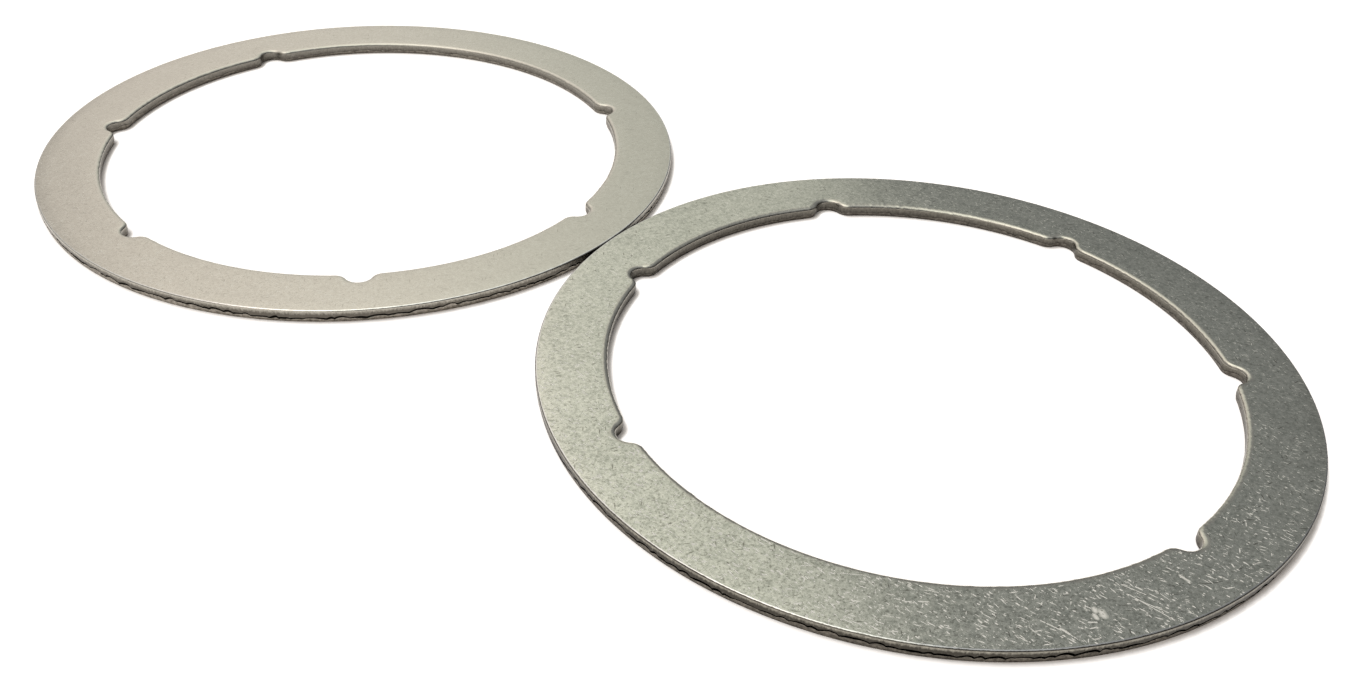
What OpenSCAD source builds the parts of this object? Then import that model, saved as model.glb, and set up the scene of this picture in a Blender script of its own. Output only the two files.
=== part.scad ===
// Pair of notched shim washers, blanked from steel sheet and lying side by side.
// The origin is on the resting plane, half-way between the two centres.
// +X runs from the left shim's centre to the right shim's centre, and +Z is up.

/* [Shim] */
// Bore diameter, measured between the notches
bore_d = 85.3; // [50:0.1:120]
// Width of the steel band, from the bore to the rim
band_w = 9.7; // [7:0.1:20]
// Thickness of the sheet
thickness = 1.9; // [1.6:0.1:4]

/* [Notches] */
// Evenly spaced places for notches round the bore
notch_places = 7; // [3:1:12]
// Places that are cut, up to all of them; their number tells one thickness from another
notch_count = 6; // [1:1:12]
// Depth of a notch, from the bore to its root
notch_depth = 2.1; // [1.6:0.1:3]
// Radius of a notch's round root
notch_r = 2; // [1.4:0.1:3]
// Radius of the shoulders, where a notch opens into the bore
shoulder_r = 2; // [1:0.1:3]

/* [Cut edge] */
// Radius that the punch rolls over at the top of the bore and the notches
bore_roll = 0.4; // [0.1:0.05:0.6]
// Radius that the die rolls over at the top of the rim
rim_roll = 0.2; // [0.1:0.05:0.6]
// Height of the torn band, from the bottom face up to the smooth land
tear_h = 0.8; // [0.2:0.05:0.9]
// Distance that the torn band leans back into the steel at the bottom face
tear_lean = 0.1; // [0.02:0.01:0.2]

/* [Pair] */
// Gap between the two rims where they come closest
rim_gap = 0.05; // [0.02:0.01:20]
// Direction that the left shim's first plain place faces, in degrees from +X
left_turn = 108; // [0:1:359]
// Direction that the right shim's first plain place faces, in degrees from +X
right_turn = 290; // [0:1:359]

/* [Hidden] */
$fn = 240;

// Height by which a shoulder's round stands over the bore and the root where it meets them
proud = 0.01;
// Angle by which a shoulder's round runs into the steel at each end, in degrees
lap = 0.5;
// Distance that a cutter runs past what it cuts
over = 1;
// Conical flats that make up a rolled corner
roll_flats = 4;

bore_r = bore_d / 2;
rim_r = bore_r + band_w;
// Angle from one place to the next
pitch = 360 / notch_places;
last_notch = min(notch_count, notch_places);
// Distance from the shim's axis to the centre of a notch's root
notch_c = bore_r + notch_depth - notch_r;
// Distance from the shim's axis to the centre of a shoulder
shoulder_c = bore_r + shoulder_r;
// Corners of the triangle between the shim's axis, the centre of a notch's root and the centre of its shoulder
shoulder_a = corner(notch_c, shoulder_c, notch_r + shoulder_r);
shoulder_turn = corner(shoulder_c, notch_r + shoulder_r, notch_c);
root_turn = shoulder_a + shoulder_turn;
// Distance from the origin to each shim's axis
centre_x = rim_r + rim_gap / 2;

// Angle between the sides p and q of a triangle whose third side is r
function corner(p, q, r) = acos((p * p + q * q - r * r) / (2 * p * q));

// Point at distance r and angle a from the shim's axis
function polar(r, a) = r * [cos(a), sin(a)];

// Profile of a cut edge from the bottom face to the top face, as [distance into the steel, height]:
// the torn band that leans back, the smooth land, and the rolled corner
function cut_edge(roll) = concat(
    [[tear_lean, 0], [0, tear_h]],
    [for (i = [0 : roll_flats]) let (a = 90 * i / roll_flats)
        [roll * (1 - cos(a)), thickness - roll * (1 - sin(a))]]
);

// The list in the other order
function reversed(list) = [for (i = [len(list) - 1 : -1 : 0]) list[i]];

// The whole band turned about the shim's axis, with both cut edges
module band() {
    rotate_extrude() polygon(concat(
        [for (p = cut_edge(bore_roll)) [bore_r + p[0], p[1]]],
        reversed([for (p = cut_edge(rim_roll)) [rim_r - p[0], p[1]]])
    ));
}

// Gap between the shoulders of the notch at the place that faces +X.
// Its sides run along the rays on which a shoulder meets the bore and the notch's root.
module mouth() {
    side = [for (s = [1, -1]) [
        polar(shoulder_c, s * shoulder_a) + polar(shoulder_r / 2, s * (shoulder_a + 180 + shoulder_turn)),
        polar(shoulder_c, s * shoulder_a) + polar(shoulder_r / 2, s * (shoulder_a + 180)),
        polar(bore_r - over, s * shoulder_a)
    ]];
    translate([0, 0, -over]) linear_extrude(thickness + 2 * over)
        polygon(concat([[notch_c, 0]], side[0], reversed(side[1])));
}

// Punch for the round root of the notch at the place that faces +X
module root_punch() {
    reach = root_turn + 10;
    translate([notch_c, 0]) rotate_extrude(angle = 2 * reach, start = -reach) polygon(concat(
        [[0, -over], [notch_r + tear_lean, -over]],
        [for (p = cut_edge(bore_roll)) [notch_r + p[0], p[1]]],
        [[notch_r + bore_roll, thickness + over], [0, thickness + over]]
    ));
}

// Round of the shoulder on one side (1 or -1) of the notch at a place
module shoulder(place, side) {
    a = place * pitch + side * shoulder_a;
    r = shoulder_r + proud;
    first = side > 0 ? a + 180 : a + 180 - shoulder_turn;
    translate(polar(shoulder_c, a)) rotate_extrude(angle = shoulder_turn + 2 * lap, start = first - lap)
        polygon(concat([[0, 0]], [for (p = cut_edge(bore_roll)) [r - p[0], p[1]]], [[0, thickness]]));
}

// One shim about its own axis, with its first plain place facing +X
module shim() {
    difference() {
        difference() {
            band();
            for (place = [1 : last_notch]) rotate(place * pitch) mouth();
        }
        for (place = [1 : last_notch]) rotate(place * pitch) root_punch();
    }
    for (place = [1 : last_notch], side = [1, -1]) shoulder(place, side);
}

module left_shim() {
    color("silver") translate([-centre_x, 0]) rotate(left_turn) shim();
}

module right_shim() {
    color("darkgray") translate([centre_x, 0]) rotate(right_turn) shim();
}

left_shim();
right_shim();
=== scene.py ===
# %% [markdown]
# # A pair of notched shim washers
#
# Two flat steel rings lie side by side on a pale table, rim against rim.
# Each is blanked from cold-rolled sheet: a punch and a die shear it out in one blow.
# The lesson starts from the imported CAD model, which fixes every size and the place of both rings.
# Blender then gives the rings what a CAD solid leaves out:
# the cut edge as the tool left it, and the skin of the steel.

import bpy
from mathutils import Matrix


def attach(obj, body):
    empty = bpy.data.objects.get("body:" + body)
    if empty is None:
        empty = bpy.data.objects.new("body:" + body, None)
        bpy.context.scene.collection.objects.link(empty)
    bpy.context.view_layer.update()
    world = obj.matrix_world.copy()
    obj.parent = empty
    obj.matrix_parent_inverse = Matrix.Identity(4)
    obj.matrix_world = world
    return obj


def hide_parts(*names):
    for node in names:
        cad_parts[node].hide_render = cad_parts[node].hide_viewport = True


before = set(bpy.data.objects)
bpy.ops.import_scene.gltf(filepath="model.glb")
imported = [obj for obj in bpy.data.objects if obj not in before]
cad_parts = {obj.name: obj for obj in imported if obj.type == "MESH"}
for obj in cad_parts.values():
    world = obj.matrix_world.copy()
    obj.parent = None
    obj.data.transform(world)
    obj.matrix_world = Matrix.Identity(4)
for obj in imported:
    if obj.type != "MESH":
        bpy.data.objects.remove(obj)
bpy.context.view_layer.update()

# %% [markdown]
# ## The sizes of a shim
#
# These are the driving sizes of the CAD part, in millimetres.
# They are said again here because the scene reads no other file.
# Blender works in metres, so a size is turned into metres where a mesh or a material takes it.

# %% Sizes
import math
import random

import bpy
import numpy as np
from mathutils import Matrix, Vector, noise

MM = 0.001
BORE_R = 85.3 / 2
BAND_W = 9.7
THICKNESS = 1.9
RIM_R = BORE_R + BAND_W

NOTCH_PLACES = 7
NOTCH_COUNT = 6
NOTCH_DEPTH = 2.1
NOTCH_R = 2.0
SHOULDER_R = 2.0

BORE_ROLL = 0.4
RIM_ROLL = 0.2
TEAR_H = 0.8
TEAR_LEAN = 0.1

RIM_GAP = 0.05
LEFT_TURN = 108
RIGHT_TURN = 290
CENTRE_X = RIM_R + RIM_GAP / 2
print("rim radius", RIM_R, "mm, centres", 2 * CENTRE_X, "mm apart")

# %% [markdown]
# ## The camera
#
# A camera is a place, a direction and a lens.
# The picture that this scene follows looks down on the rings at about 35 degrees,
# from a little over 20 cm away.
# That is close for rings 105 mm across, so the near one looks clearly bigger than the far one.

# %% Camera
CAMERA_AT = Vector((104.3395, -143.0332, 106.2652)) * MM
LOOKS_ALONG = Vector((-0.43926714, 0.68860262, -0.57694957))
RIGHT_OF_VIEW = Vector((0.82634886, 0.56165004, 0.04119213))
SENSOR_W = 36.0
PICTURE_W = 1356
FOCAL_IN_PIXELS = 1329.016

lens = bpy.data.cameras.new("camera")
lens.sensor_fit = "HORIZONTAL"
lens.sensor_width = SENSOR_W
lens.lens = FOCAL_IN_PIXELS / PICTURE_W * SENSOR_W
lens.clip_start = 0.01
lens.clip_end = 10
camera = bpy.data.objects.new("camera", lens)
bpy.context.scene.collection.objects.link(camera)
up_of_view = RIGHT_OF_VIEW.cross(LOOKS_ALONG)
turn = Matrix((RIGHT_OF_VIEW, up_of_view, -LOOKS_ALONG)).transposed()
camera.matrix_world = Matrix.Translation(CAMERA_AT) @ turn.to_4x4()
bpy.context.scene.camera = camera
bpy.context.scene.view_settings.view_transform = "Standard"
print("lens", round(lens.lens, 2), "mm")

# %% [markdown]
# ## The outline of the bore
#
# The bore is a circle with six round notches and one place left plain.
# Each notch opens into the bore over two rounded shoulders,
# so all of the outline is arcs that meet without a corner.
# A shoulder touches both the bore's circle and the notch's root. That fixes its centre:
# the ring's axis, the root's centre and the shoulder's centre are a triangle whose three sides are known.

# %% Where a notch meets the bore
PITCH = 360 / NOTCH_PLACES
NOTCH_C = BORE_R + NOTCH_DEPTH - NOTCH_R
SHOULDER_C = BORE_R + SHOULDER_R


def corner(p, q, r):
    """Angle between the sides p and q of a triangle whose third side is r."""
    return math.degrees(math.acos((p * p + q * q - r * r) / (2 * p * q)))


SHOULDER_A = corner(NOTCH_C, SHOULDER_C, NOTCH_R + SHOULDER_R)
SHOULDER_TURN = corner(SHOULDER_C, NOTCH_R + SHOULDER_R, NOTCH_C)
ROOT_TURN = SHOULDER_A + SHOULDER_TURN
print("a notch takes", round(2 * SHOULDER_A, 2), "degrees of the bore")

# %% [markdown]
# The outline is walked at an even pace.
# At each step we keep the point and the direction that points into the steel.
# Moving all points along that direction gives the same outline a little deeper,
# which is how the cut edge gets its levels.

# %% Walking the outline
STEPS = 1700


def bore_arcs():
    """Arcs from the plain place round: distance and direction of the centre, radius, start, sweep."""
    arcs = []
    at = 0
    for place in range(1, NOTCH_COUNT + 1):
        a = place * PITCH
        before, after = a - SHOULDER_A, a + SHOULDER_A
        arcs.append((0, 0, BORE_R, at, before - at))
        arcs.append((SHOULDER_C, before, SHOULDER_R, before + 180, -SHOULDER_TURN))
        arcs.append((NOTCH_C, a, NOTCH_R, a - ROOT_TURN, 2 * ROOT_TURN))
        arcs.append((SHOULDER_C, after, SHOULDER_R, after + 180 + SHOULDER_TURN, -SHOULDER_TURN))
        at = after
    arcs.append((0, 0, BORE_R, at, 360 - at))
    return arcs


def walk(arcs):
    """Points at an even pace along the arcs, at each the direction into the steel, and the whole length."""
    lengths = [abs(math.radians(sweep)) * r for _, _, r, _, sweep in arcs]
    ends = np.cumsum(lengths)
    points, into = [], []
    for i in range(STEPS):
        s = ends[-1] * i / STEPS
        k = int(np.searchsorted(ends, s, side="right"))
        reach, way, r, start, sweep = arcs[k]
        a = math.radians(start + sweep * (s - ends[k] + lengths[k]) / lengths[k])
        centre = np.array((math.cos(math.radians(way)), math.sin(math.radians(way)))) * reach
        out = np.array((math.cos(a), math.sin(a)))
        points.append(centre + out * r)
        into.append(out if sweep > 0 else -out)
    return np.array(points), np.array(into), float(ends[-1])


bore_points, bore_into, bore_length = walk(bore_arcs())
rim_points, rim_into, rim_length = walk([(0, 0, RIM_R, 0, 360)])
rim_into = -rim_into
print("bore edge", round(bore_length, 1), "mm, one step", round(bore_length / STEPS, 3), "mm")

# %% [markdown]
# ## The cut edge
#
# A punch doesn't slice sheet steel. It pulls the surface down at the corner, then shears a smooth land,
# and at about half the thickness the rest tears away.
# From the top down the edge of the real ring shows a bright rolled corner, a smooth burnished land,
# a dark ragged crack, and a rough torn band that leans back into the steel.
# The crack isn't a straight line. It runs in shallow arches, 1 to 3.4 mm long,
# where the tear jumped from one start to the next.
#
# A bump map could only hint at this, because the crack is a real lip with shadow under it.
# So each level of the edge is a ring of points of its own, and the levels near the crack follow the arches.

# %% Noise round an edge
def round_noise(u, length, size, seed, z=0.0):
    """Smooth noise u mm along a closed edge, in waves of about this size. It meets itself after one turn."""
    r = length / size / (2 * math.pi)
    a = 2 * math.pi * u / length
    return noise.noise(Vector((r * math.cos(a) + seed * 17.3, r * math.sin(a) - seed * 5.1, z + seed * 3.7)))


def along(length, size, seed, z=0.0):
    """The noise of every step along an edge."""
    return np.array([round_noise(length * i / STEPS, length, size, seed, z) for i in range(STEPS)])


def uneven(length, middle, waves, seed):
    """A value for every step that wanders about its middle in waves, each of a strength and a size in mm."""
    value = middle
    for k, (strength, size) in enumerate(waves):
        value = value + strength * along(length, size, seed + k)
    return value


print("noise along the rim stays within", round(float(np.abs(along(rim_length, 2.2, 1)).max()), 2))

# %% The crack
ARCH_LENGTHS = (1.0, 3.4)
ARCH_HEIGHTS = (0.12, 0.42)
ARCH_LEANS = (0.3, 0.7)
ARCH_BULGE = 0.6
LONG_SWAY, LONG_SWAY_MM = 0.3, 17
SHORT_SWAY, SHORT_SWAY_MM = 0.05, 0.6
RIM_CRACK_H = TEAR_H
BORE_CRACK_H = TEAR_H - 0.35
BORE_CRACK_SEED = 3
RIM_CRACK_SEED = 7


def arches(length, seed):
    """Arches of the tear along an edge: where each starts, its length, its height and its lean."""
    chance = random.Random(seed)
    spans = []
    while sum(spans) < length:
        spans.append(chance.uniform(*ARCH_LENGTHS))
    stretch = length / sum(spans)
    found, at = [], 0.0
    for span in spans:
        found.append((at, span * stretch, chance.uniform(*ARCH_HEIGHTS), chance.uniform(*ARCH_LEANS)))
        at += span * stretch
    return found


def crack_line(length, lowest, seed):
    """For each step along the edge: the height of the crack, and how far its arch has run, from 0 to 1."""
    found = arches(length, seed)
    heights, runs = [], []
    k = 0
    for i in range(STEPS):
        u = length * i / STEPS
        while k + 1 < len(found) and u >= found[k + 1][0]:
            k += 1
        start, span, high, lean = found[k]
        t = (u - start) / span
        rise = math.sin(math.pi * t ** (math.log(0.5) / math.log(lean)))
        sway = LONG_SWAY * round_noise(u, length, LONG_SWAY_MM, seed)
        sway += SHORT_SWAY * round_noise(u, length, SHORT_SWAY_MM, seed + 1)
        heights.append(lowest + high * rise**ARCH_BULGE + sway)
        runs.append(t)
    return np.array(heights), np.array(runs)


bore_crack, bore_run = crack_line(bore_length, BORE_CRACK_H, BORE_CRACK_SEED)
rim_crack, rim_run = crack_line(rim_length, RIM_CRACK_H, RIM_CRACK_SEED)
print("crack height on the rim, mm:", round(rim_crack.min(), 2), "to", round(rim_crack.max(), 2))

# %% [markdown]
# Each level is a pair of numbers for every step: how far it lies inside the steel, and how high.
# The torn band gets several levels, pushed in unevenly by noise, and never out past the land.
# The crack is a real groove under the lip of the land. Its mouth opens and closes along the edge,
# and where it is widest it is also deepest.
# Each noise has a seed of its own, so no two of them rise and fall together.

# %% The torn band
TORN_LEVELS = 8
TORN_ROUGH = 0.06
TORN_MIDDLE = 0.5
# Unevenness of the torn band: its strength, its size in mm, its change from foot to crack, and its seed.
TORN_WAVES = ((0.7, 1.3, 0.8, 2), (0.35, 0.35, 3, 4))
TORN_INSIDE = 0.02
ARCH_ENDS_INSIDE = 0.03
FOOT_INSIDE = TEAR_LEAN + 0.08
# The mouth of the crack, as a share of the way from its narrowest to its widest.
MOUTH_MIDDLE = 0.48
MOUTH_WAVES = ((0.65, 2.6), (0.2, 0.5))
MOUTH_SEED = 8
# The back of the groove: its depth and the span of its heights, as shares of the mouth.
GROOVE_DEPTH = 1.3
GROOVE_BACK = (0.75, 0.3)


def torn_depth(length, seed, share, run):
    """How far the torn band lies inside the steel at one level, from the bottom (0) to the crack (1)."""
    waves = TORN_MIDDLE
    for strength, size, climb, own_seed in TORN_WAVES:
        waves = waves + strength * along(length, size, seed + own_seed, share * climb)
    rough = TORN_ROUGH * waves + ARCH_ENDS_INSIDE * (1 - np.sin(np.pi * run))
    return np.clip(rough, 0, None) + TORN_INSIDE + FOOT_INSIDE * (1 - share) ** 2


def torn_and_crack(edge, length, crack, gape, run, seed):
    """Levels from the bottom face up to the back of the crack: (zone, depth into the steel, height)."""
    opening = uneven(length, MOUTH_MIDDLE, MOUTH_WAVES, seed + MOUTH_SEED)
    gap = gape[0] + (gape[1] - gape[0]) * np.clip(opening, 0, 1)
    levels = [(edge + "_torn", np.full(STEPS, FOOT_INSIDE), np.zeros(STEPS))]
    for k in range(1, TORN_LEVELS + 1):
        share = k / TORN_LEVELS
        levels.append((edge + "_torn", torn_depth(length, seed, share, run), (crack - gap) * share))
    levels[-1] = ("crack", *levels[-1][1:])
    for share in GROOVE_BACK:
        levels.append(("crack", TORN_INSIDE + gap * GROOVE_DEPTH, crack - gap * share))
    return levels


print("torn band: foot", round(FOOT_INSIDE, 2), "mm inside the steel")

# %% The land and the rolled corner
LAND_LEVELS = 3
LAND_INSIDE = 0.006
LIP_H = 0.02
LAND_WAVE, LAND_WAVE_MM, LAND_CLIMB, LAND_SEED = 0.008, 0.9, 0.4, 12
ROLL_LEVELS = 8
ROLL_WAVES = ((0.12, 2.2), (0.35, 0.55))
ROLL_SEED = 6


def land_and_corner(edge, length, crack, roll, reach, seed):
    """Levels from the lip of the crack to the top face: (zone, depth into the steel, height)."""
    levels = [(edge + "_land", np.full(STEPS, LAND_INSIDE), crack)]
    top_of_land = THICKNESS - roll
    for k in range(1, LAND_LEVELS):
        share = k / LAND_LEVELS
        waves = 1 + along(length, LAND_WAVE_MM, seed + LAND_SEED, share * LAND_CLIMB)
        depth = LAND_WAVE * waves * math.sin(math.pi * share)
        levels.append((edge + "_land", depth, crack + LIP_H + (top_of_land - crack) * share))
    wander = uneven(length, 1, ROLL_WAVES, seed + ROLL_SEED)
    for k in range(ROLL_LEVELS + 1):
        a = math.pi / 2 * k / ROLL_LEVELS
        height = THICKNESS - roll * (1 - math.sin(a)) * (2 - wander)
        levels.append((edge + "_corner", reach * (1 - math.cos(a)) * wander, np.minimum(height, THICKNESS)))
    return levels


print("rolled corner:", ROLL_LEVELS, "steps from the land to the face")

# %% [markdown]
# The two edges are made alike, but not to the same sizes.
# The punch draws the bore's corner far into the face, and the die barely presses the rim's.
# The crack stands wide open on the rim and is nearly closed in the bore.

# %% The levels of both edges
BORE_GAPE = (0.03, 0.12)
RIM_GAPE = (0.17, 0.46)
BORE_REACH = 0.75
RIM_REACH = 0.24
BORE_SEED = 11
RIM_SEED = 23

bore_levels = [
    *torn_and_crack("bore", bore_length, bore_crack, BORE_GAPE, bore_run, BORE_SEED),
    *land_and_corner("bore", bore_length, bore_crack, BORE_ROLL, BORE_REACH, BORE_SEED),
]
rim_levels = [
    *torn_and_crack("rim", rim_length, rim_crack, RIM_GAPE, rim_run, RIM_SEED),
    *land_and_corner("rim", rim_length, rim_crack, RIM_ROLL, RIM_REACH, RIM_SEED),
]
print(len(bore_levels), "levels on the bore and", len(rim_levels), "on the rim")

# %% [markdown]
# ## One mesh for a whole shim
#
# Both edges and both faces are one closed skin, like a tyre: level after level round the section,
# and step after step round the ring. That keeps it watertight without any boolean.
# Each strip between two rings of points belongs to a zone, and each zone has a finish of its own.

# %% The rings of points
FACE_RINGS = 3
ZONES = ["face", "bore_corner", "rim_corner", "bore_land", "rim_land", "bore_torn", "rim_torn", "crack"]


def shim_rings():
    """Rings of points round the section of a shim, with the zone of the strip that follows each ring."""
    rings = []
    for zone, depth, height in bore_levels:
        rings.append((np.column_stack([bore_points + bore_into * depth[:, None], height]), zone))
    inner = rings[-1][0]
    rings[-1] = (inner, "face")
    _, depth, height = rim_levels[-1]
    outer = np.column_stack([rim_points + rim_into * depth[:, None], height])
    for k in range(1, FACE_RINGS + 1):
        share = k / (FACE_RINGS + 1)
        rings.append((inner * (1 - share) + outer * share, "face"))
    for k in range(len(rim_levels) - 1, -1, -1):
        _, depth, height = rim_levels[k]
        strip = rim_levels[k - 1][0] if k else "face"
        rings.append((np.column_stack([rim_points + rim_into * depth[:, None], height]), strip))
    return rings


section_rings = shim_rings()
print(len(section_rings), "rings of", STEPS, "points")

# %% The mesh of a shim
SHARP_FROM = 50


def build_shim(name, centre_x, degrees, finishes):
    """The mesh object of one shim, turned and moved to its place, with a finish for each zone."""
    a = math.radians(degrees)
    spin = np.array(((math.cos(a), -math.sin(a), 0), (math.sin(a), math.cos(a), 0), (0, 0, 1)))
    points = np.concatenate([ring for ring, _ in section_rings]) @ spin.T
    points[:, 0] += centre_x
    step = np.arange(STEPS)
    after = (step + 1) % STEPS
    faces, zones = [], []
    for k, (_, zone) in enumerate(section_rings):
        low, high = k * STEPS, (k + 1) % len(section_rings) * STEPS
        faces.append(np.column_stack([low + step, low + after, high + after, high + step]))
        zones.append(np.full(STEPS, ZONES.index(zone)))
    faces = np.concatenate(faces)
    mesh = bpy.data.meshes.new(name)
    mesh.from_pydata((points * MM).tolist(), [], faces.tolist())
    mesh.polygons.foreach_set("material_index", np.concatenate(zones).astype(np.int32))
    for finish in finishes:
        mesh.materials.append(finish)
    mesh.shade_smooth()
    mesh.set_sharp_from_angle(angle=math.radians(SHARP_FROM))
    shim = bpy.data.objects.new(name, mesh)
    bpy.context.scene.collection.objects.link(shim)
    print(name, "has", 2 * len(faces), "triangles")
    return shim


# %% [markdown]
# ## Colours and nodes
#
# Colours are written as sRGB hex, the way a picture editor shows them.
# Blender's shaders count in linear light, so one function turns them.
# Another adds a node with its settings and its links, and every material is built with it.
# Patterns are sized by the real thing: a noise with marks 0.4 mm wide fits 2,500 of them in a metre.

# %% Helpers for materials
def linear(colour):
    """An sRGB hex colour as linear red, green, blue and alpha."""
    parts = [int(colour[i : i + 2], 16) / 255 for i in (1, 3, 5)]
    return (*[v / 12.92 if v <= 0.04045 else ((v + 0.055) / 1.055) ** 2.4 for v in parts], 1)


def empty_tree(owner):
    """The node tree of a material or a world, with nothing in it yet."""
    owner.use_nodes = True
    owner.node_tree.nodes.clear()
    return owner.node_tree


def add(tree, kind, settings=None, links=None):
    """Adds a node, sets its properties and sockets, and links other nodes' outputs to its sockets."""
    made = tree.nodes.new(kind)
    for name, value in (settings or {}).items():
        if isinstance(name, str) and hasattr(made, name):
            setattr(made, name, value)
        else:
            made.inputs[name].default_value = value
    for socket, source in (links or {}).items():
        tree.links.new(source, made.inputs[socket])
    return made


def set_stops(ramp, stops):
    """Gives a colour ramp these stops, each a position and a linear colour."""
    elements = ramp.color_ramp.elements
    elements.remove(elements[-1])
    elements[0].position, elements[0].color = stops[0]
    for position, colour in stops[1:]:
        elements.new(position).color = colour


def per_metre(size_mm):
    """Scale of a pattern whose marks are this big: how many fit in a metre."""
    return 1 / (size_mm * MM)


print("mid grey in linear light:", round(linear("#808080")[0], 3))

# %% [markdown]
# ## Cold-rolled steel
#
# The faces are the skin of cold-rolled sheet. Polished rolls press it flat, and later handling dulls it.
# To the eye it is a soft grey metal, cloudy in patches of a few millimetres, with a fine grain,
# and on the ring that has been handled more, bright pinpricks and short scratches.
# The material is a plain metal. Noise in real sizes varies its colour, its roughness and its relief.
#
# A scratch is long and thin. Cells that are stretched along it give that:
# the points near the middle of a stretched cell form a needle.
# One layer of needles lies in one direction, and a few layers together look like wear.
# A fresh scratch is rough inside, so it takes in light from all round:
# bright on the dim side of the ring, faint on the bright side.
# Real ones are down to a few hundredths of a millimetre wide, too fine to show,
# so they are drawn about 0.2 mm wide at the middle and thinner at both ends.

# %% Scratches
# Each layer: its direction in degrees, the cell (length and width in mm) that a scratch lies in,
# half the scratch's width in mm, and the share of cells that have one.
FRESH_SCRATCHES = [
    (4, (4.2, 0.6), 0.09, 0.65),
    (-12, (3.4, 0.55), 0.085, 0.6),
    (24, (4.6, 0.7), 0.085, 0.5),
    (71, (5, 0.9), 0.1, 0.3),
    (-48, (6, 0.9), 0.1, 0.3),
    (9, (1.0, 0.45), 0.13, 0.4),
]
OLD_SCRATCHES = [
    (118, (5, 0.9), 0.11, 0.4),
    (-33, (6, 0.8), 0.1, 0.4),
    (52, (7, 1.0), 0.1, 0.4),
    (15, (1.1, 0.9), 0.14, 0.2),
]
NEEDLE_GAIN = 2.4


def needles(tree, place, degrees, cell, half_width, share):
    """A mask with one layer of short scratches. Each layer is moved by its angle, so that no two coincide."""
    turned = add(
        tree,
        "ShaderNodeVectorRotate",
        {"rotation_type": "Z_AXIS", "Angle": math.radians(degrees)},
        {"Vector": place},
    )
    stretched = add(
        tree,
        "ShaderNodeMapping",
        {
            "Scale": (per_metre(cell[0]), per_metre(cell[1]), 0),
            "Location": (degrees * 0.37, degrees * 0.11, 0),
        },
        {"Vector": turned.outputs[0]},
    )
    cells = add(
        tree,
        "ShaderNodeTexVoronoi",
        {"voronoi_dimensions": "2D", "Scale": 1},
        {"Vector": stretched.outputs[0]},
    )
    pick = add(tree, "ShaderNodeSeparateColor", {}, {"Color": cells.outputs["Color"]})
    size = add(
        tree,
        "ShaderNodeMapRange",
        {"From Min": 1 - share, "From Max": 1, "To Max": half_width / cell[1]},
        {"Value": pick.outputs[0]},
    )
    mask = add(
        tree,
        "ShaderNodeMapRange",
        {"From Max": 0, "To Max": NEEDLE_GAIN},
        {"Value": cells.outputs["Distance"], "From Min": size.outputs[0]},
    )
    return mask.outputs[0]


def strongest(tree, masks):
    """The strongest of several masks at each point."""
    best = masks[0]
    for mask in masks[1:]:
        best = add(tree, "ShaderNodeMath", {"operation": "MAXIMUM"}, {0: best, 1: mask}).outputs[0]
    return best


print(len(FRESH_SCRATCHES), "layers of fresh scratches and", len(OLD_SCRATCHES), "of old ones")

# %% [markdown]
# A few marks stand out from the wear, so they get a place of their own:
# a bundle of long scratches by a notch, a bright gouge near the rim, a scuff, and one thin dark hairline.
# Each is the distance from a short straight line on the top face.

# %% Single marks
# Each mark: its two ends (x and y in mm), half its width in mm, and how strong it is in the middle.
BRIGHT_MARKS = [
    ((62.9, -43.1), (65.5, -41.6), 0.07, 0.7),
    ((65.7, -41.8), (67.3, -42.5), 0.07, 0.7),
    ((70.0, -42.7), (71.6, -42.3), 0.09, 0.9),
    ((72.2, -41.6), (73.1, -41.0), 0.12, 0.9),
    ((69.9, -45.8), (71.6, -45.0), 0.07, 0.7),
    ((72.3, -39.4), (73.4, -39.1), 0.08, 0.8),
    ((67.8, -48.5), (68.7, -48.3), 0.10, 0.9),
    ((71.6, -47.4), (72.3, -46.9), 0.10, 0.9),
    ((70.2, -40.2), (70.9, -40.3), 0.10, 0.9),
    ((84.1, -36.3), (86.3, -36.3), 0.13, 0.8),
    ((86.3, -36.1), (87.3, -36.3), 0.18, 1.6),
    ((87.3, -36.3), (88.3, -36.5), 0.08, 0.8),
    ((83.9, -33.1), (84.6, -33.1), 0.10, 0.9),
    ((88.2, -31.1), (88.4, -31.4), 0.40, 0.9),
    ((88.5, -32.0), (88.9, -32.3), 0.35, 0.9),
    ((88.4, -33.4), (89.1, -32.9), 0.15, 0.9),
    ((78.6, -40.2), (79.0, -40.4), 0.15, 1.2),
    ((90.5, -26.7), (95.9, -27.5), 0.08, 1.2),
    ((91.6, -26.9), (95.0, -26.8), 0.09, 1.0),
    ((89.4, -25.7), (92.1, -25.6), 0.09, 1.0),
    ((90.8, -25.1), (91.4, -25.1), 0.15, 1.4),
    ((92.8, -24.3), (94.4, -24.8), 0.07, 0.9),
    ((94.3, -20.3), (95.4, -20.6), 0.25, 0.8),
    ((89.0, -31.1), (89.4, -31.5), 0.60, 0.8),
    ((98.6, -14.9), (98.9, -15.2), 0.12, 1.2),
    ((95.0, -29.2), (95.3, -29.2), 0.12, 1.2),
    ((52.5, -45.9), (53.1, -45.6), 0.12, 0.9),
    ((59.2, -44.4), (60.1, -43.8), 0.10, 0.7),
]
DARK_MARKS = [
    ((96.4, -20.2), (97.5, -19.5), 0.08, 0.9),
    ((97.5, -19.5), (98.5, -18.3), 0.08, 0.9),
    ((52.3, -49.0), (52.4, -49.0), 0.14, 1.0),
]
MARK_GAIN = 1.5


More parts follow.
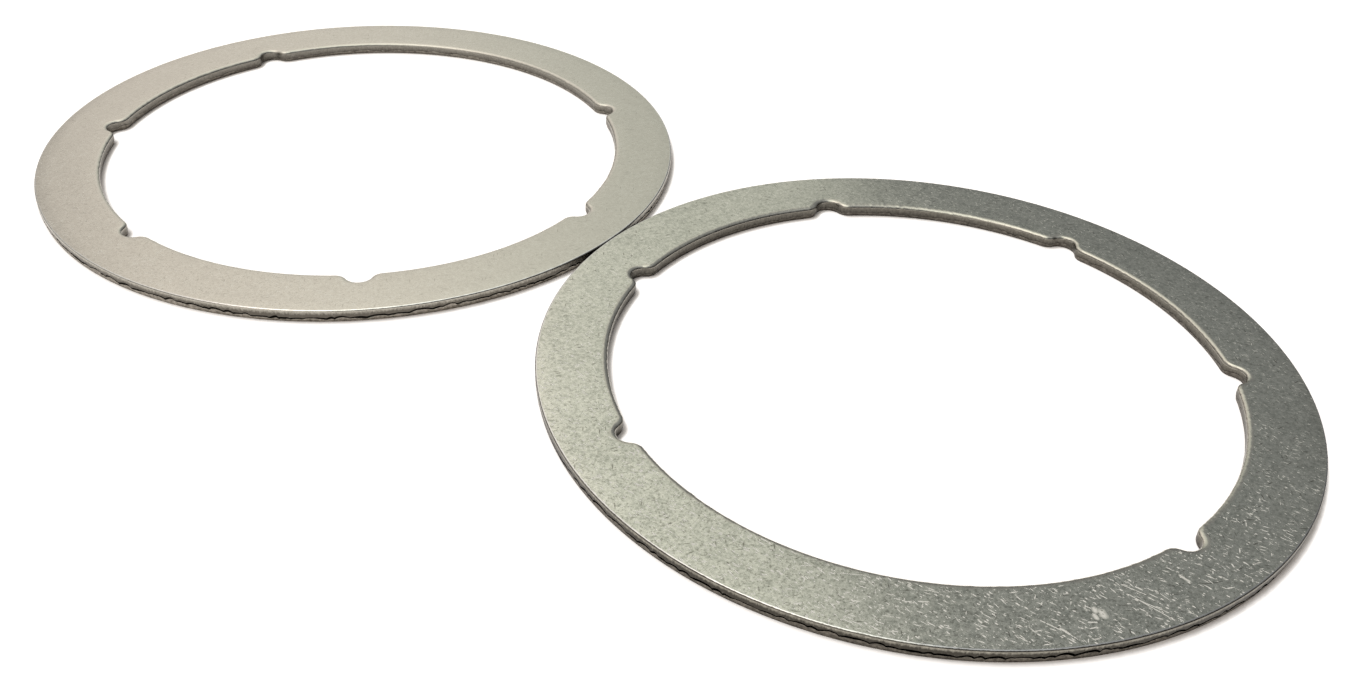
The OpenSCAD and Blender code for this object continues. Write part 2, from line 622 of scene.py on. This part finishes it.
def single_mark(tree, place, start, end, half_width, strength):
    """A mask with one straight scratch on the top face."""
    first = Vector((*start, THICKNESS)) * MM
    run = Vector((*end, THICKNESS)) * MM - first
    offset = add(tree, "ShaderNodeVectorMath", {"operation": "SUBTRACT", 1: first}, {0: place})
    share = add(
        tree,
        "ShaderNodeVectorMath",
        {"operation": "DOT_PRODUCT", 1: run / run.length_squared},
        {0: offset.outputs[0]},
    )
    share = add(tree, "ShaderNodeClamp", {}, {"Value": share.outputs["Value"]})
    nearest = add(tree, "ShaderNodeVectorMath", {"operation": "SCALE", 0: run}, {"Scale": share.outputs[0]})
    away = add(
        tree,
        "ShaderNodeVectorMath",
        {"operation": "DISTANCE"},
        {0: offset.outputs[0], 1: nearest.outputs[0]},
    )
    mask = add(
        tree,
        "ShaderNodeMapRange",
        {"From Min": half_width * MM, "From Max": 0, "To Max": MARK_GAIN * strength},
        {"Value": away.outputs["Value"]},
    )
    return mask.outputs[0]


print(len(BRIGHT_MARKS), "bright marks and", len(DARK_MARKS), "dark ones")

# %% [markdown]
# The skin itself is four noises of real sizes, from clouds 6 mm across down to specks of 0.3 mm.
# The grain of real sheet is finer than that, and is drawn as coarse as it needs to show.
# Clouds, mottle and grain together make the tone. The specks break up the scratches,
# and their brightest and darkest spots are the pinpricks and the pits.

# %% The skin of the sheet
# Each pattern: the size of its marks in mm, its detail and its roughness.
SKIN_PATTERNS = {
    "cloud": (6, 3, 0.6),
    "mottle": (1.1, 4, 0.75),
    "grain": (0.42, 2, 0.7),
    "speck": (0.3, 2, 0.6),
}
TONE_SHARES = {"cloud": 0.15, "mottle": 0.25, "grain": 0.6}
TONE_STOPS = (0.38, 0.5, 0.62)


def skin_patterns(tree, place):
    """The four noises of the rolled skin, by name."""
    found = {}
    for name, (size_mm, detail, roughness) in SKIN_PATTERNS.items():
        settings = {"Scale": per_metre(size_mm), "Detail": detail, "Roughness": roughness}
        found[name] = add(tree, "ShaderNodeTexNoise", settings, {"Vector": place}).outputs[0]
    return found


def skin_colour(tree, patterns, tones):
    """The colour of clean skin: its dark, middle and light tone, spread by the patterns."""
    tone = None
    for name, share in TONE_SHARES.items():
        weigh = {"operation": "MULTIPLY_ADD", 1: share, 2: 0}
        weighed = add(tree, "ShaderNodeMath", weigh, {0: patterns[name]})
        if tone is not None:
            tree.links.new(tone, weighed.inputs[2])
        tone = weighed.outputs[0]
    ramp = add(tree, "ShaderNodeValToRGB", {}, {"Fac": tone})
    set_stops(ramp, [(at, linear(colour)) for at, colour in zip(TONE_STOPS, tones)])
    return ramp.outputs[0]


print("patterns of the skin:", ", ".join(SKIN_PATTERNS))

# %% [markdown]
# Wear sits where the ring was gripped and slid: strongest round one place, and patchy.
# Fresh wear is bare, bright and rough. Old scratches and pits have gone dull, and only darken the skin.

# %% Fresh wear
WEAR_ELSEWHERE = 0.16
PATCHES = {"From Min": 0.35, "From Max": 0.6, "To Min": 0.45}
BREAKS = {"From Min": 0.32, "From Max": 0.42}
PINPRICKS = {"From Min": 0.64, "From Max": 0.75}
WEAR_GAIN = 1.8
TIMES = {"operation": "MULTIPLY"}


def share_handled(tree, place, centre, reach):
    """How much each place was handled: all of it within the first reach, and little beyond the second."""
    away = add(
        tree,
        "ShaderNodeVectorMath",
        {"operation": "DISTANCE", 1: tuple(v * MM for v in centre)},
        {0: place},
    )
    handled = add(
        tree,
        "ShaderNodeMapRange",
        {
            "interpolation_type": "SMOOTHSTEP",
            "From Min": reach[0] * MM,
            "From Max": reach[1] * MM,
            "To Min": 1,
            "To Max": WEAR_ELSEWHERE,
        },
        {"Value": away.outputs["Value"]},
    )
    return handled.outputs[0]


def fresh_wear(tree, place, patterns, handled, worn, marks):
    """The mask of fresh wear: scratches, pinpricks and single bright marks."""
    patchy = add(tree, "ShaderNodeMapRange", PATCHES, {"Value": patterns["cloud"]}).outputs[0]
    broken = add(tree, "ShaderNodeMapRange", BREAKS, {"Value": patterns["speck"]}).outputs[0]
    pinpricks = add(tree, "ShaderNodeMapRange", PINPRICKS, {"Value": patterns["speck"]}).outputs[0]
    wear = strongest(tree, [needles(tree, place, *layer) for layer in FRESH_SCRATCHES])
    wear = add(tree, "ShaderNodeMath", TIMES, {0: wear, 1: broken}).outputs[0]
    wear = strongest(tree, [wear, pinpricks])
    wear = add(tree, "ShaderNodeMath", TIMES, {0: wear, 1: handled}).outputs[0]
    wear = add(tree, "ShaderNodeMath", TIMES, {0: wear, 1: patchy}).outputs[0]
    gain = {"operation": "MULTIPLY", 1: WEAR_GAIN * worn, "use_clamp": True}
    wear = add(tree, "ShaderNodeMath", gain, {0: wear}).outputs[0]
    for mark in marks:
        own = add(tree, "ShaderNodeMath", TIMES, {0: single_mark(tree, place, *mark), 1: broken}).outputs[0]
        stronger = {"operation": "MAXIMUM", "use_clamp": True}
        wear = add(tree, "ShaderNodeMath", stronger, {0: wear, 1: own}).outputs[0]
    return wear


print("far from the worn place,", WEAR_ELSEWHERE, "of the wear is left")

# %% Old grime
PITS = {"From Min": 0.46, "From Max": 0.32}
GRIME_LEAST, GRIME_GAIN = 0.2, 0.4


def old_grime(tree, place, patterns, handled, worn, marks):
    """The mask of old, dull marks: scratches, pits and single dark marks."""
    pits = add(tree, "ShaderNodeMapRange", PITS, {"Value": patterns["speck"]}).outputs[0]
    pits = add(tree, "ShaderNodeMath", TIMES, {0: pits, 1: handled}).outputs[0]
    grime = strongest(tree, [*[needles(tree, place, *layer) for layer in OLD_SCRATCHES], pits])
    gain = {"operation": "MULTIPLY", 1: GRIME_LEAST + GRIME_GAIN * worn}
    grime = add(tree, "ShaderNodeMath", gain, {0: grime}).outputs[0]
    return strongest(tree, [grime, *[single_mark(tree, place, *mark) for mark in marks]])


print("old scratches darken the most worn ring by up to", round(GRIME_LEAST + GRIME_GAIN, 2))

# %% [markdown]
# Now the material. Its roughness starts from a typical 0.2 to 0.3 for smooth cold-rolled sheet,
# and varies a little with the mottle.
# A fresh scratch is a rough trough that mirrors nothing, so there the surface is partly not a mirror at all:
# its metallic share falls and its roughness rises. That keeps it bright from every side.

# %% Colour and roughness
GRIME_TONE = "#77756b"
WEAR_TONE = "#f2f1ea"
MOTTLE_RANGE = (0.3, 0.7)
ROUGHNESS_SPREAD = 0.04
WEAR_ROUGHENS = 0.55


def worn_colour(tree, skin, wear, grime):
    """The skin's colour, dulled by grime and then bared by fresh wear."""
    dulled = add(tree, "ShaderNodeMix", {"data_type": "RGBA", 7: linear(GRIME_TONE)}, {0: grime, 6: skin})
    bared = {"data_type": "RGBA", 7: linear(WEAR_TONE)}
    return add(tree, "ShaderNodeMix", bared, {0: wear, 6: dulled.outputs[2]}).outputs[2]


def worn_roughness(tree, mottle, roughness, wear):
    """The skin's roughness, which varies with the mottle and rises where the wear is fresh."""
    skin_rough = add(
        tree,
        "ShaderNodeMapRange",
        {
            "From Min": MOTTLE_RANGE[0],
            "From Max": MOTTLE_RANGE[1],
            "To Min": roughness - ROUGHNESS_SPREAD,
            "To Max": roughness + ROUGHNESS_SPREAD,
        },
        {"Value": mottle},
    )
    roughened = {"operation": "MULTIPLY_ADD", 1: WEAR_ROUGHENS}
    return add(tree, "ShaderNodeMath", roughened, {0: wear, 2: skin_rough.outputs[0]}).outputs[0]


print("fresh wear adds", WEAR_ROUGHENS, "to the roughness")

# %% Cold-rolled steel
WEAR_DULLS_METAL = 0.8
WEAR_SINKS = 2.5
SKIN_RELIEF_MM = 0.0016


def cold_rolled_steel(name, tones, roughness, worn, wear_centre, wear_reach, bright_marks=(), dark_marks=()):
    """Matt cold-rolled sheet: cloudy colour, fine grain, and scratches, most of them round one place."""
    material = bpy.data.materials.new(name)
    tree = empty_tree(material)
    place = add(tree, "ShaderNodeTexCoord").outputs["Object"]
    patterns = skin_patterns(tree, place)
    handled = share_handled(tree, place, wear_centre, wear_reach)
    wear = fresh_wear(tree, place, patterns, handled, worn, bright_marks)
    grime = old_grime(tree, place, patterns, handled, worn, dark_marks)

    colour = worn_colour(tree, skin_colour(tree, patterns, tones), wear, grime)
    rough = worn_roughness(tree, patterns["mottle"], roughness, wear)
    mirror = add(
        tree,
        "ShaderNodeMath",
        {"operation": "MULTIPLY_ADD", 1: -WEAR_DULLS_METAL, 2: 1.0, "use_clamp": True},
        {0: wear},
    )
    relief = add(
        tree,
        "ShaderNodeMath",
        {"operation": "MULTIPLY_ADD", 1: -WEAR_SINKS},
        {0: wear, 2: patterns["grain"]},
    )
    bump = add(tree, "ShaderNodeBump", {"Distance": SKIN_RELIEF_MM * MM}, {"Height": relief.outputs[0]})
    metal = add(
        tree,
        "ShaderNodeBsdfPrincipled",
        {},
        {
            "Base Color": colour,
            "Metallic": mirror.outputs[0],
            "Roughness": rough,
            "Normal": bump.outputs[0],
        },
    )
    add(tree, "ShaderNodeOutputMaterial", {}, {"Surface": metal.outputs[0]})
    print(name, "has", len(tree.nodes), "nodes")
    return material


# %% The two faces
# Dark, middle and light tone of each ring's skin, the middle of its worn place,
# and how far from there it is fully and hardly worn, in mm.
LEFT_TONES = ("#c0beb3", "#c7c5b9", "#cdccc1")
RIGHT_TONES = ("#acaea2", "#c8c9bc", "#dadacd")
LEFT_WORN_AT = (-CENTRE_X, -40, THICKNESS)
RIGHT_WORN_AT = (CENTRE_X + 8, -42, THICKNESS)
LEFT_REACH = (20, 60)
RIGHT_REACH = (25, 75)

left_face = cold_rolled_steel("cold-rolled_steel_smooth", LEFT_TONES, 0.24, 0.12, LEFT_WORN_AT, LEFT_REACH)
right_face = cold_rolled_steel(
    "cold-rolled_steel_scratched",
    RIGHT_TONES,
    roughness=0.2,
    worn=1.0,
    wear_centre=RIGHT_WORN_AT,
    wear_reach=RIGHT_REACH,
    bright_marks=BRIGHT_MARKS,
    dark_marks=DARK_MARKS,
)

# %% [markdown]
# ## Rolled corner, burnished land, torn band and crack
#
# The land has slid along the tool, which leaves a smooth metal with fine upright drag lines.
# The land is painted light under the rolled corner and darker towards the crack; that darkening is painted
# shade.
# The torn band broke instead. Its surface is full of tiny steps that catch dust and oil,
# so it is dull, darker and a little brown. The crack is painted nearly black, which is painted shade in its
# groove.
# One function makes every finish of the edge: two tones, mixed by a grain that may be drawn out upright,
# and by height where light is painted: a painted highlight atop each rolled corner and painted shade low on
# each land.
# Its roughness is typical for each: about 0.2 for a pressed corner, 0.4 for burnished steel, 0.5 for torn
# steel and 0.8 for the crack.

# %% The finish of a cut edge
# How far the tone is pushed towards dark at the bottom of a painted fade (painted shade), and towards light
# at its top (painted highlight).
PAINTED_LIGHT_SHIFTS = (-0.35, 0.25)


def cut_steel(name, light, dark, roughness, grain, painted_fade=None, spread=0.2):
    """Steel of a cut edge: two tones, its grain, the heights over which painted light fades it to dark, and
    how softly.
    """
    grain_mm, upright, relief_mm = grain
    material = bpy.data.materials.new(name)
    tree = empty_tree(material)
    place = add(tree, "ShaderNodeTexCoord").outputs["Object"]
    drawn = add(tree, "ShaderNodeMapping", {"Scale": (1, 1, 1 / upright)}, {"Vector": place})
    steps = add(
        tree,
        "ShaderNodeTexNoise",
        {"Scale": per_metre(grain_mm), "Detail": 4, "Roughness": 0.65},
        {"Vector": drawn.outputs[0]},
    )
    tone = steps.outputs[0]
    # Painted light: by height alone the tone is pushed dark low down (painted shade) and light high up
    # (painted highlight).
    if painted_fade:
        height = add(tree, "ShaderNodeSeparateXYZ", {}, {"Vector": place})
        painted_shift = add(
            tree,
            "ShaderNodeMapRange",
            {
                "From Min": painted_fade[0] * MM,
                "From Max": painted_fade[1] * MM,
                "To Min": PAINTED_LIGHT_SHIFTS[0],
                "To Max": PAINTED_LIGHT_SHIFTS[1],
            },
            {"Value": height.outputs["Z"]},
        )
        tone = add(tree, "ShaderNodeMath", {"operation": "ADD"}, {0: tone, 1: painted_shift.outputs[0]}).outputs[0]
    ramp = add(tree, "ShaderNodeValToRGB", {}, {"Fac": tone})
    set_stops(ramp, [(0.5 - spread, linear(dark)), (0.5 + spread, linear(light))])
    bump = add(tree, "ShaderNodeBump", {"Distance": relief_mm * MM}, {"Height": steps.outputs[0]})
    metal = add(
        tree,
        "ShaderNodeBsdfPrincipled",
        {"Metallic": 1.0, "Roughness": roughness},
        {"Base Color": ramp.outputs[0], "Normal": bump.outputs[0]},
    )
    add(tree, "ShaderNodeOutputMaterial", {}, {"Surface": metal.outputs[0]})
    print(name, "has", len(tree.nodes), "nodes")
    return material


# %% [markdown]
# The grain says how the steel was worked: drawn down by the punch at the bore's corner, pressed by the die
# at the rim's, dragged upright on the land, and broken on the torn band.
# The two rings aren't quite alike. The left one's edges are paler, and its crack is painted less dark.

# %% Finishes of both edges
# Each grain: its size in mm, how many times it is drawn out upright, and its relief in mm.
DRAWN = (0.3, 1, 0.002)
PRESSED = (0.4, 1, 0.002)
DRAGGED = (0.3, 1.6, 0.004)
TORN_BORE = (0.5, 1, 0.02)
TORN_RIM = (0.45, 1, 0.02)
CRACKED = (0.3, 1, 0.02)
# Each painted fade: the heights in mm between which the finish goes from dark to light, as a painted
# highlight at the top of each corner and painted shade low on each land.
BORE_CORNER_PAINTED_HIGHLIGHT = (THICKNESS - 0.34, THICKNESS - 0.1)
RIM_CORNER_PAINTED_HIGHLIGHT = (THICKNESS - 0.09, THICKNESS - 0.01)
BORE_LAND_PAINTED_SHADE = (0.4, THICKNESS - BORE_ROLL)
LEFT_RIM_LAND_PAINTED_SHADE = (1.1, 1.75)
RIM_LAND_PAINTED_SHADE = (1.25, 1.8)

# Painted light: each corner is painted light at its top as a highlight, each land is painted darker towards
# the crack as shade, and the crack's colour is painted shade.
left_edge = [
    cut_steel("drawn_corner_of_left_bore", "#c8c6bb", "#a3a097", 0.3, DRAWN, BORE_CORNER_PAINTED_HIGHLIGHT),
    cut_steel("pressed_corner_of_left_rim", "#ecece6", "#b4b1a8", 0.16, PRESSED, RIM_CORNER_PAINTED_HIGHLIGHT, 0.07),
    cut_steel("burnished_land_of_left_bore", "#89867e", "#55514b", 0.42, DRAGGED, BORE_LAND_PAINTED_SHADE, 0.3),
    cut_steel("burnished_land_of_left_rim", "#aba89e", "#605c55", 0.34, DRAGGED, LEFT_RIM_LAND_PAINTED_SHADE, 0.25),
    cut_steel("torn_band_of_left_bore", "#9c978e", "#67625a", 0.5, TORN_BORE),
    cut_steel("torn_band_of_left_rim", "#b4aea4", "#6a645b", 0.5, TORN_RIM),
    # The crack's dark colour is painted shade, lighter than on the right ring.
    cut_steel("crack_of_left_rim", "#5f5a52", "#35312b", 0.8, CRACKED),
]
# Painted light, as on the left ring: painted highlights atop the corners, painted shade on the lands, and a
# near-black crack that is painted shade.
right_edge = [
    cut_steel("drawn_corner_of_bore", "#c4c2b6", "#8f8c84", 0.22, DRAWN, BORE_CORNER_PAINTED_HIGHLIGHT),
    cut_steel("pressed_corner_of_rim", "#dadad5", "#706d66", 0.16, PRESSED, RIM_CORNER_PAINTED_HIGHLIGHT, 0.07),
    cut_steel("burnished_land_of_bore", "#77746c", "#413e39", 0.42, DRAGGED, BORE_LAND_PAINTED_SHADE, 0.3),
    cut_steel("burnished_land_of_rim", "#aaa79b", "#45423c", 0.36, DRAGGED, RIM_LAND_PAINTED_SHADE, 0.27),
    cut_steel("torn_band_of_bore", "#7d7871", "#4a4640", 0.5, TORN_BORE),
    cut_steel("torn_band_of_rim", "#8a847b", "#46423b", 0.5, TORN_RIM),
    # The groove's near-black colour is painted shade.
    cut_steel("crack_groove", "#1c1916", "#0e0c0a", 0.8, CRACKED),
]
print(len(left_edge) + len(right_edge), "finishes for the edges of both shims")

# %% [markdown]
# ## The two shims
#
# Each mesh takes the place of its CAD solid: it rides on the same body
# and replaces the same node.

# %% The two shims
left_shim = build_shim("left_shim_steel", -CENTRE_X, LEFT_TURN, [left_face, *left_edge])
right_shim = build_shim("right_shim_steel", CENTRE_X, RIGHT_TURN, [right_face, *right_edge])
for shim, node, slot in ((left_shim, "left_shim", "left_steel"), (right_shim, "right_shim", "right_steel")):
    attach(shim, "root")
    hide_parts(node)

# %% [markdown]
# ## The table
#
# The rings lie on matt white card, bright enough to look plain white from every side.
# A card that only scattered the room's light would look grey, so it also gives a little light of its own,
# which the camera and the steel see but which doesn't light the rings from below.
# Light comes from one side, so the shadow where steel meets card is one-sided too.
# That shadow is painted: the shader asks how open each point is towards the window,
# and dims the card's own light where a rim stands in the way.

# %% The table
TABLE_HALF = 2.0
CARD_GLOW = 0.68
TOWARDS_WINDOW = (-0.92, -0.33, 0.22)
PAINTED_SHADOW_REACH_MM = 0.9
OPENNESS = {"From Min": 0.52, "From Max": 0.97, "To Min": 0.02}

corners = [(TABLE_HALF * x, TABLE_HALF * y, 0) for x, y in ((-1, -1), (1, -1), (1, 1), (-1, 1))]
table_mesh = bpy.data.meshes.new("table")
table_mesh.from_pydata(corners, [], [(0, 1, 2, 3)])
table = bpy.data.objects.new("table", table_mesh)
bpy.context.scene.collection.objects.link(table)

card = bpy.data.materials.new("matt_white_card")
tree = empty_tree(card)
ray = add(tree, "ShaderNodeLightPath")
seen = strongest(tree, [ray.outputs[f"Is {kind} Ray"] for kind in ("Camera", "Glossy", "Transmission")])
window_side = add(tree, "ShaderNodeCombineXYZ", dict(enumerate(TOWARDS_WINDOW)))
# Painted shadow: occlusion towards the window, within a short reach, dims the card's glow beside the rims.
contact = add(
    tree,
    "ShaderNodeAmbientOcclusion",
    {"Distance": PAINTED_SHADOW_REACH_MM * MM, "samples": 8},
    {"Normal": window_side.outputs[0]},
)
open_share = add(
    tree,
    "ShaderNodeMapRange",
    {"interpolation_type": "SMOOTHSTEP", **OPENNESS},
    {"Value": contact.outputs["AO"]},
)
glow = add(tree, "ShaderNodeMath", {"operation": "MULTIPLY", 1: CARD_GLOW}, {0: seen})
glow = add(tree, "ShaderNodeMath", TIMES, {0: glow.outputs[0], 1: open_share.outputs[0]})
paper = add(tree, "ShaderNodeBsdfDiffuse", {"Color": linear("#f3eae2")})
shine = add(tree, "ShaderNodeEmission", {"Color": linear("#fbfdff")}, {"Strength": glow.outputs[0]})
both = add(tree, "ShaderNodeAddShader", {}, {0: paper.outputs[0], 1: shine.outputs[0]})
add(tree, "ShaderNodeOutputMaterial", {}, {"Surface": both.outputs[0]})
table_mesh.materials.append(card)
print("table", 2 * TABLE_HALF, "m across")

# %% [markdown]
# ## The studio
#
# A big soft window on the left reaches overhead, and the right of the room stays dim.
# Steel has no colour of its own to speak of: what you see on it is the room.
# That is why one ring fades from pale to dark across its width.
# The room is a sky without any lamp: a world whose brightness depends on the direction alone.
# One ramp goes from the dim side to the window side, another from the horizon up, and the two are multiplied.

# %% The light of the room
# From the dim side (-1) to the window side (1): how red, green and blue the room is, in linear light.
ROOM = [
    (-1, (0.07, 0.07, 0.073)),
    (-0.55, (0.16, 0.16, 0.165)),
    (-0.42, (0.21, 0.21, 0.215)),
    (-0.27, (0.26, 0.265, 0.275)),
    (-0.01, (0.305, 0.31, 0.315)),
    (0.035, (0.71, 0.71, 0.67)),
    (0.13, (0.71, 0.71, 0.665)),
    (0.21, (0.8, 0.8, 0.75)),
    (0.35, (1.02, 0.97, 0.92)),
    (0.52, (1.02, 0.94, 0.9)),
    (0.61, (0.62, 0.58, 0.56)),
    (0.78, (0.45, 0.43, 0.41)),
    (0.88, (0.55, 0.53, 0.51)),
    (1, (0.8, 0.78, 0.75)),
]
# From the horizon (0) to straight up (1): how bright the room is.
HEIGHTS = [
    (0, 0.6),
    (0.24, 0.7),
    (0.36, 0.96),
    (0.5, 0.98),
    (0.64, 1.27),
    (0.74, 1.3),
    (0.83, 1.2),
    (0.93, 2.1),
]
print("brightest overhead, at", HEIGHTS[-1][1])

# %% The studio
WINDOW_FACES = 207.5
WINDOW_TILT = 0.13

world = bpy.data.worlds.new("studio")
bpy.context.scene.world = world
tree = empty_tree(world)
way = add(tree, "ShaderNodeTexCoord").outputs["Generated"]
a = math.radians(WINDOW_FACES)
side = add(
    tree,
    "ShaderNodeVectorMath",
    {"operation": "DOT_PRODUCT", 1: (math.cos(a), math.sin(a), WINDOW_TILT)},
    {0: way},
)
across = add(
    tree,
    "ShaderNodeMath",
    {"operation": "MULTIPLY_ADD", 1: 0.5, 2: 0.5},
    {0: side.outputs["Value"]},
)
room = add(tree, "ShaderNodeValToRGB", {}, {"Fac": across.outputs[0]})
set_stops(room, [(at * 0.5 + 0.5, (*level, 1)) for at, level in ROOM])
up = add(tree, "ShaderNodeSeparateXYZ", {}, {0: way})
overhead = add(tree, "ShaderNodeValToRGB", {}, {"Fac": up.outputs["Z"]})
set_stops(overhead, [(at, (level, level, level, 1)) for at, level in HEIGHTS])
light = add(
    tree,
    "ShaderNodeVectorMath",
    {"operation": "MULTIPLY"},
    {0: room.outputs[0], 1: overhead.outputs[0]},
)
sky = add(tree, "ShaderNodeBackground", {"Strength": 1.0}, {"Color": light.outputs[0]})
add(tree, "ShaderNodeOutputWorld", {}, {"Surface": sky.outputs[0]})
print("the window faces", WINDOW_FACES, "degrees from +X")
